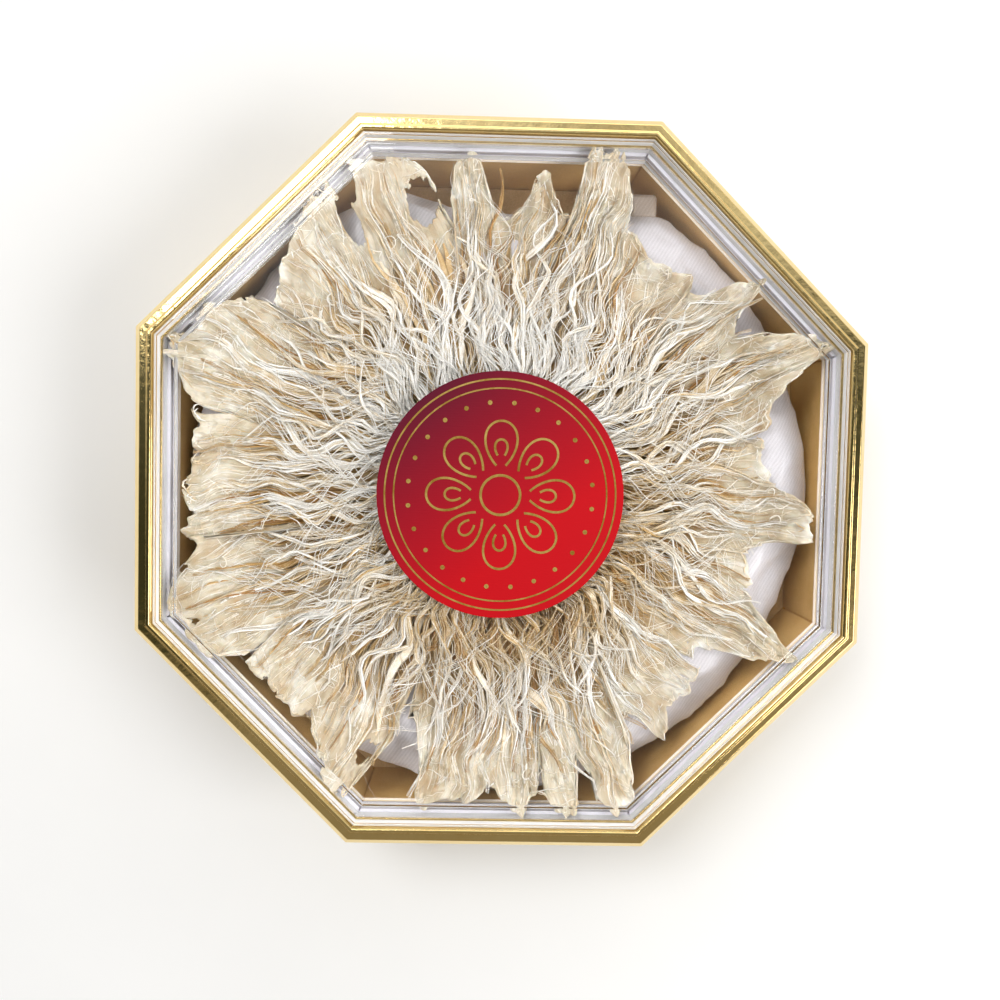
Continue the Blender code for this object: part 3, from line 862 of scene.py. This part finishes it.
def loops(fan, dice):
    """Loose strands that curl up over the others."""
    count = max(3, int(fan.wide / 5.0))
    draw = drawer(dice, count, 1)
    share, distance = draw(0.05, 0.95), draw(48.0, 82.0)
    distance = np.minimum(distance, fan.edge(share) - 7.0)
    turn = fan.middle + fan.flow(share, distance)
    x, y = across_fan(distance, turn)
    along = np.linspace(0, 1, LOOP_POINTS)[None, :]
    size, twist = draw(0.8, 2.6), draw(1.2, 4.0)
    angle = np.radians(turn) + dice.choice([-1.0, 1.0], (count, 1)) * along * twist
    stretch = draw(1.0, 9.0) * (along - 0.5)
    x = x + size * np.cos(angle) + stretch * np.cos(np.radians(turn))
    y = y + size * np.sin(angle) + stretch * np.sin(np.radians(turn))
    height = fan.sheet(share, distance, fan.edge(share)) + 1.0 + 1.2 * np.sin(np.pi * along) + 0.5 * along
    crown = read_grid(TOP, distance, turn) - 0.4
    height = np.maximum(height, height + (crown - height) * (distance < WIDTH_AT))
    radius = draw(0.10, 0.22) * np.clip(np.minimum(along, 1 - along) / 0.1, 0.3, 1)
    tone = np.full((count, LOOP_POINTS), 0.9)
    return np.stack([x, y, np.minimum(height, TOP_LIMIT - radius)], axis=-1), radius, tone


def keep_value(tree, geometry, name, value, kind="FLOAT"):
    """Stores a value on the points of a geometry under a name."""
    inputs = {"Geometry": geometry, "Name": name, "Value": value}
    return result(tree, "GeometryNodeStoreNamedAttribute", inputs, data_type=kind, domain="POINT")


def kept_value(tree, name):
    stored = put(tree, "GeometryNodeInputNamedAttribute", {"Name": name}, data_type="FLOAT")
    return stored.outputs["Attribute"]


def together(tree, x, y, z):
    return result(tree, "ShaderNodeCombineXYZ", {"X": x, "Y": y, "Z": z})


def tube_tree():
    """Geometry nodes that turn edge lines into tubes of their own thickness."""
    tree = bpy.data.node_groups.new("Strand tubes", "GeometryNodeTree")
    for label, kind in (("Lines", "Geometry"), ("Sides", "Int"), ("Thickness", "Float"),
                        ("Flatness", "Float"), ("Ridges", "Float"), ("Ridge Height", "Float"),
                        ("Material", "Material")):
        tree.interface.new_socket(label, in_out="INPUT", socket_type="NodeSocket" + kind)
    tree.interface.new_socket("Tubes", in_out="OUTPUT", socket_type="NodeSocketGeometry")
    start, end = put(tree, "NodeGroupInput").outputs, put(tree, "NodeGroupOutput")
    scaled = math_of(tree, "MULTIPLY", kept_value(tree, "radius_m"), start["Thickness"])
    curve = result(tree, "GeometryNodeMeshToCurve", {"Mesh": start["Lines"]})
    curve = result(tree, "GeometryNodeSetCurveNormal", {"Curve": curve}, mode="Z_UP")
    curve = result(tree, "GeometryNodeSetCurveRadius", {"Curve": curve, "Radius": scaled})
    length = put(tree, "GeometryNodeSplineParameter").outputs["Length"]
    curve = keep_value(tree, curve, "run", length)
    ring = result(tree, "GeometryNodeCurvePrimitiveCircle", {"Resolution": start["Sides"], "Radius": 1.0})
    side = result(tree, "ShaderNodeSeparateXYZ", {"Vector": result(tree, "GeometryNodeInputPosition")})
    ring = keep_value(tree, ring, "side", side)
    scale = together(tree, 1.0, start["Flatness"], 1.0)
    ring = result(tree, "GeometryNodeTransform", {"Geometry": ring, "Scale": scale})
    wave = math_of(tree, "MULTIPLY", math_of(tree, "MULTIPLY", side, start["Ridges"]), math.tau)
    wave = math_of(tree, "MULTIPLY", math_of(tree, "SINE", wave), start["Ridge Height"])
    rise = together(tree, 0.0, wave, 0.0)
    ring = result(tree, "GeometryNodeSetPosition", {"Geometry": ring, "Offset": rise})
    tubes = result(tree, "GeometryNodeCurveToMesh", {"Curve": curve, "Profile Curve": ring,
                                                     "Scale": scaled, "Fill Caps": True})
    sideways = math_of(tree, "MULTIPLY", kept_value(tree, "side"), kept_value(tree, "radius_m"))
    chart = together(tree, sideways, kept_value(tree, "run"), kept_value(tree, "tone"))
    tubes = keep_value(tree, tubes, "lane", chart, "FLOAT_VECTOR")
    tubes = result(tree, "GeometryNodeSetShadeSmooth", {"Geometry": tubes})
    tubes = result(tree, "GeometryNodeRealizeInstances", {"Geometry": tubes})
    tubes = result(tree, "GeometryNodeSetMaterial", {"Geometry": tubes, "Material": start["Material"]})
    tree.links.new(tubes, end.inputs["Tubes"])
    return tree


def make_tubes(name, lines, radius, tone, tree, shape, material):
    """Tubes along lines, each an array of points in millimetres, by the tree of strand tubes."""
    count, points = lines.shape[:2]
    first = np.arange(count * points).reshape(count, points)
    edges = np.stack([first[:, :-1], first[:, 1:]], axis=-1).reshape(-1, 2)
    obj = mesh_object(name, lines.reshape(-1, 3), edges=edges.tolist())
    keep_layers(obj.data, {"radius_m": radius * MM, "tone": tone})
    maker = obj.modifiers.new("tubes", "NODES")
    maker.node_group = tree
    inputs = {item.name: item.identifier for item in tree.interface.items_tree if item.in_out == "INPUT"}
    for label, value in {**shape, "Material": material}.items():
        maker[inputs[label]] = value
    return settle(obj)


def join(name, objects):
    """Joins objects into the first one, which keeps their attributes and materials."""
    bpy.ops.object.select_all(action="DESELECT")
    for obj in objects:
        obj.select_set(True)
    bpy.context.view_layer.objects.active = objects[0]
    bpy.ops.object.join()
    objects[0].name = name
    objects[0].data.name = name
    return objects[0]


ROUND_SHAPE = {"Sides": STRAND_SIDES, "Thickness": 1.0, "Flatness": 1.0, "Ridges": 0.0, "Ridge Height": 0.0}
BAND_SHAPE = {"Sides": BAND_SIDES, "Thickness": 1.0, "Flatness": BAND_FLAT, "Ridges": BAND_RIDGES / 2,
              "Ridge Height": 0.08}
LAYERS = (  # share of the nest's height, tone, locks for each LOCK_SPACING, sway, share that ends free
    (0.00, 0.25, 0.34, 0.40, 0.6, 0.05),
    (0.25, 0.55, 0.56, 0.32, 0.9, 0.20),
    (0.55, 0.95, 0.80, 0.26, 1.4, 0.30),
)


def make_nest(number, tree, strand, membrane):
    """One nest: its sheet, three layers of locks, loose strands, crumbs and fine hairs."""
    fan = Fan(number)
    dice = np.random.default_rng(40 + number)
    width = fan.high[-1] - fan.low[-1]
    threads, bands = [striae(fan, dice), loops(fan, dice)], []
    for low, high, tone, crowd, sway, free_share in LAYERS:
        count = max(4, int(width / LOCK_SPACING * crowd))
        paths = lock_paths(fan, count, dice.uniform(low, high, count), sway, free_share, dice)
        wide = LOCK_WIDE * dice.uniform(0.6, 1.3, count)
        shades = tone + dice.normal(0, 0.2, count)
        threads.append(lock_strands(paths, wide, LOCK_THICK, STRAND_RADIUS, shades, LOCK_STRANDS, dice))
        bands.append(lock_bands(paths, wide, shades - 0.12, dice))
    count = max(4, int(width / THREAD_SPACING))
    paths = lock_paths(fan, count, dice.uniform(0.7, 1.1, count), 2.8, 0.6, dice)
    wide = dice.uniform(0.35, 0.75, count)
    threads.append(lock_strands(paths, wide, 0.2, THREAD_RADIUS, np.full(count, 0.92), 3, dice))
    bands.append(lock_bands(paths, wide * 1.2, np.full(count, 0.82), dice))
    count = max(6, int(width / HAIR_SPACING))
    paths = lock_paths(fan, count, dice.uniform(0.8, 1.2, count), 4.5, 0.7, dice)
    wide, shades = np.full(count, 2.4), np.full(count, 0.95)
    threads.append(lock_strands(paths, wide, 0.8, HAIR_RADIUS, shades, 4, dice))
    parts = [make_sheet(fan, membrane)]
    for label, lines, shape in (
        ("strands", threads, ROUND_SHAPE),
        ("crumbs", [crumbs(fan, dice)], ROUND_SHAPE),
        ("net", [net(fan, dice)], ROUND_SHAPE),
        ("bands", bands, BAND_SHAPE),
    ):
        made = clear_of_gaps(*[np.concatenate(values) for values in zip(*lines)])
        parts.append(make_tubes(f"{label}_{number}", *made, tree, shape, strand))
    return finish_piece(join(f"{NESTS[number]}_strands", parts), replaced=[NESTS[number]])


# The case


def eight_reach(place):
    """Distance of a point from the case's axis, measured square to the nearest side."""
    return max(abs(place.x), abs(place.y), (abs(place.x) + abs(place.y)) / math.sqrt(2))


def eight_sided(name, section, material):
    """A ring with eight straight sides along the wall, from its section of reaches and heights."""
    points, faces = [], []
    for side in range(8):
        turn = (side + 0.5) * math.pi / 4
        for reach, height in section:
            corner = reach / math.cos(math.pi / 8)
            points.append((corner * math.cos(turn), corner * math.sin(turn), height))
    for side in range(8):
        for place in range(4):
            near, far = side * 4, (side + 1) % 8 * 4
            faces.append((near + place, far + place, far + (place + 1) % 4, near + (place + 1) % 4))
    return finish_piece(mesh_object(name, points, faces), material)


def dress_case():
    """The frame, tray, pane and rings over the wall, and the card's finishes, the wall's with painted light
    bands at its top.
    """
    gold, milky = gold_plate(), clear_plastic("milky_rim", 0.12, 0.45)
    for node, name, width, slot, material in (
        ("lid_frame", "gold_frame", 0.22, "gold_plate", gold),
        ("base_tray", "gold_tray", 0.35, "gold_plate", gold),
        ("lid_window", "clear_pane", 0.15, "clear_plastic", clear_plastic("clear_plastic", 0.02, 1.0)),
    ):
        piece = finish_piece(soften(clean_copy(node, name), width), material, [node])
    piece.visible_shadow = False
    piece.data.materials.append(milky)
    for face in piece.data.polygons:
        if eight_reach(face.center) > PANE_RIM * MM:
            face.material_index = 1
    eight_sided("clear_rim_lip", LIP, milky)
    # The foil edge ring is coloured pale as a painted highlight.
    eight_sided("foil_edge", FOIL_EDGE, gold_card("foil_edge_painted_highlight", EDGE_HIGHLIGHT_COLOURS, 0.4, 0.0))
    # The wall card carries the painted highlight and reflection bands at its top.
    for node, material in (("liner_wall", gold_card("gold_card", WALL_COLOURS, 0.42, 0.15, rim=True)),
                           ("floor_card", gold_card("gold_card_floor", FLOOR_COLOURS, 0.5, 0.1))):
        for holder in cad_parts[node].material_slots:
            holder.material = material


# The cushion


def crease(mesh, foot, crown):
    """Draws the cloth into ridges that run towards its seam, and into its folds."""
    places, normals = read_vertices(mesh, "co"), read_vertices(mesh, "normal")
    turn, away = np.arctan2(places[:, 1], places[:, 0]), np.hypot(places[:, 0], places[:, 1]) / MM
    ridge = 1 - 2 * np.abs(ripple(turn * 9.0 + away / 30.0, away / 26.0, 71))
    ridge = ridge + 0.5 * (1 - 2 * np.abs(ripple(turn * 22.0 - away / 11.0, away / 14.0, 72)))
    lift = ridge * smooth_step(50.0, 80.0, away) * CREASE
    flat = places[:, :2] / MM
    for *ends, height in FOLDS:
        start, run = np.array(ends[:2]), np.subtract(ends[2:], ends[:2])
        share = np.clip((flat - start) @ run / (run @ run), 0, 1)
        aside = np.linalg.norm(flat - start - share[:, None] * run, axis=1)
        lift = lift + height * np.exp(-((aside / FOLD_WIDE) ** 2))
    lift = lift * np.clip(normals[:, 2], 0, 1) ** 2
    places = places + normals * (lift * MM)[:, None]
    places[:, 2] = np.clip(places[:, 2], foot, crown + PAD_RISE * MM)
    move_vertices(mesh, places)


def fill_out(mesh):
    """Widens the pad to its solid's own reach on every side."""
    low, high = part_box("cushion")
    places = read_vertices(mesh, "co")
    for axis in range(2):
        for end, limit in ((places[:, axis].max(), high[axis]), (places[:, axis].min(), low[axis])):
            side = places[:, axis] * limit > 0
            places[side, axis] *= limit / end
    move_vertices(mesh, places)


def make_tab(material):
    """The folded corner of cloth that stands up by the far wall."""
    built = bmesh.new()
    bmesh.ops.create_cube(built, size=1.0)
    for vert in built.verts:
        sizes = (1.0 - TAB_TAPER * (vert.co.z > 0), 1.0 - TAB_TAPER * (vert.co.z > 0), 1.0)
        vert.co = Vector([middle + size * share * value for middle, size, share, value
                          in zip(TAB_PLACE, TAB_SIZE, sizes, vert.co)]) * MM
    return finish_piece(soften(from_bmesh("cloth_corner", built), 1.4, 4), material)


def make_cushion(material):
    """The pad swells as cloth under pressure, then takes one subdivision."""
    cushion = clean_copy("cushion", "satin_cushion")
    foot, crown = (corner[2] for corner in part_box("cushion"))
    for vert in cushion.data.vertices:
        vert.co.x *= PAD_SHRINK
        vert.co.y *= PAD_SHRINK
    remesh = cushion.modifiers.new("even cloth", "REMESH")
    remesh.mode = "VOXEL"
    remesh.voxel_size = PAD_GRAIN * MM
    cushion = settle(cushion)
    before = read_vertices(cushion.data, "co")
    cloth = cushion.modifiers.new("cloth", "CLOTH")
    for key, value in CLOTH.items():
        setattr(cloth.settings, key, value)
    cloth.settings.effector_weights.gravity = 0.0
    for step in range(1, CLOTH_STEPS + 1):
        bpy.context.scene.frame_set(step)
    cushion = settle(cushion)
    bpy.context.scene.frame_set(1)
    move = read_vertices(cushion.data, "co") - before
    length = np.linalg.norm(move, axis=1, keepdims=True)
    after = before + move * np.minimum(1.0, PAD_SWELL * MM / np.maximum(length, 1e-9))
    after[:, 2] = np.clip(after[:, 2], foot, crown + PAD_RISE * MM)
    move_vertices(cushion.data, after)
    smooth = cushion.modifiers.new("fine surface", "SUBSURF")
    smooth.levels = smooth.render_levels = 1
    cushion.data.shade_smooth()
    cushion = settle(cushion)
    fill_out(cushion.data)
    crease(cushion.data, foot, crown)
    finish_piece(cushion, material, ["cushion"])


# The seal


def flat_line(points, width, bottom, closed=True):
    """A flat strip of ink along points, standing on the paper."""
    points = np.asarray(points, float)
    if closed:
        ahead = np.roll(points, -1, 0) - np.roll(points, 1, 0)
    else:
        ahead = np.gradient(points, axis=0)
    aside = np.stack([-ahead[:, 1], ahead[:, 0]], axis=-1)
    aside = aside / np.linalg.norm(aside, axis=1, keepdims=True)
    top, count = bottom + INK_THICK, len(points)
    rails = []
    for side, height in ((-1, bottom), (1, bottom), (1, top), (-1, top)):
        rails.append(np.column_stack([points + aside * side * width / 2, np.full(count, height)]))
    faces = []
    for place in range(count if closed else count - 1):
        following = (place + 1) % count
        for rail in range(4):
            near, far = rail * count, (rail + 1) % 4 * count
            faces.append((near + place, near + following, far + following, far + place))
    if not closed:
        faces.append([rail * count for rail in range(4)])
        faces.append([rail * count + count - 1 for rail in (3, 2, 1, 0)])
    return mesh_object("gold_line", np.concatenate(rails), faces)


def make_seal(paper, ink):
    """The round seal: rings, a flower of eight double petals, and a ring of dots."""
    low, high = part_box("seal_label")
    centre = (np.array(low) + np.array(high))[:2] / 2 / MM
    radius = (high[0] - low[0]) / 2 / MM
    top = high[2] / MM
    turns = np.linspace(0, 2 * np.pi, SEAL_SIDES, endpoint=False)
    circle = np.column_stack([np.cos(turns), np.sin(turns)])
    built = bmesh.new()
    bmesh.ops.create_cone(built, cap_ends=True, segments=SEAL_SIDES, radius1=radius * MM,
                          radius2=radius * MM, depth=high[2] - low[2])
    for vert in built.verts:
        vert.co += Vector((centre[0] * MM, centre[1] * MM, (low[2] + high[2]) / 2))
    finish_piece(soften(from_bmesh("round_seal", built), 0.08, 2), paper, ["seal_label"])
    strokes = [flat_line(centre + circle * radius * share, width, top) for share, width in RINGS]
    for petal in range(8):
        turn = petal * math.pi / 4
        for foot, tip, half, parted in PETALS:
            bend = np.linspace(parted, 2 * np.pi - parted, 40)
            out = foot + (tip - foot) * (0.5 - 0.5 * np.cos(bend))
            side = half * np.sin(bend) * np.abs(np.sin(bend / 2)) ** 0.6
            x = (out * math.cos(turn) - side * math.sin(turn)) * radius
            y = (out * math.sin(turn) + side * math.cos(turn)) * radius
            strokes.append(flat_line(centre + np.column_stack([x, y]), PETAL_LINE, top, closed=False))
    for dot in range(24):
        turn = dot * math.pi / 12 + math.pi / 24
        spot = centre + radius * DOT_RING * np.array([math.cos(turn), math.sin(turn)])
        strokes.append(flat_line(spot + circle[::10] * DOT_RADIUS, DOT_LINE, top))
    return finish_piece(join("seal_gold_lines", strokes), ink)


# Stage, lights and camera


def soft_light(name, place, size, power):
    lamp = bpy.data.lights.new(name, "AREA")
    lamp.shape = "RECTANGLE"
    lamp.size, lamp.size_y = size
    lamp.energy = power
    obj = link(bpy.data.objects.new(name, lamp))
    obj.location = place
    obj.rotation_euler = (-Vector(place)).to_track_quat("-Z", "Y").to_euler()


def make_stage():
    """A pale floor, three soft lights, and a sky whose dark patches show in the gold."""
    turns = ((-1, -1), (1, -1), (1, 1), (-1, 1))
    corners = [(x * FLOOR_REACH, y * FLOOR_REACH, -FLOOR_DROP) for x, y in turns]
    floor = mesh_object("floor", corners, [(0, 1, 2, 3)])
    material, tree, shader, place = start_material("pale_floor", {"Roughness": 0.7})
    connect(tree, shader, mottle(tree, place, 3.0, 40.0, 0.2, *STAGE_COLOURS)[0])
    floor.data.materials.append(material)
    for light in LIGHTS:
        soft_light(*light)
    world = bpy.data.worlds.new("studio")
    bpy.context.scene.world = world
    world.use_nodes = True
    tree = world.node_tree
    toward = put(tree, "ShaderNodeTexCoord").outputs["Generated"]
    lean = put(tree, "ShaderNodeVectorMath", {0: toward, 1: (-0.12, 1.0, 0.0)}, operation="DOT_PRODUCT")
    sway = math_of(tree, "MULTIPLY_ADD", noise(tree, toward, 3.0, 2.0), 0.7, -0.35)
    total = math_of(tree, "ADD", lean.outputs["Value"], sway)
    background = tree.nodes["Background"]
    tree.links.new(ramp(tree, remap(tree, total, -0.5, 0.5), SKY_COLOURS), background.inputs["Color"])
    background.inputs["Strength"].default_value = SKY_STRENGTH


def make_camera():
    lens = bpy.data.cameras.new("camera")
    lens.lens = CAMERA_LENS
    lens.clip_start = 0.01
    eye = link(bpy.data.objects.new("camera", lens))
    eye.location = [value * MM for value in CAMERA_PLACE]
    eye.rotation_euler = [math.radians(value) for value in CAMERA_TURN]
    bpy.context.scene.camera = eye


def main():
    bpy.context.scene.view_settings.view_transform = "Standard"
    make_stage()
    make_camera()
    dress_case()
    make_cushion(satin("ivory_satin", PAD_COLOURS))
    # The tab's satin is a darker copy, its darkness painted shade.
    make_tab(satin("satin_painted_shade", TAB_PAINTED_SHADE_COLOURS))
    tree, strand, membrane = tube_tree(), nest_strand(), nest_membrane()
    for number in range(len(NESTS)):
        make_nest(number, tree, strand, membrane)
    make_seal(red_foil(), gold_ink())


main()
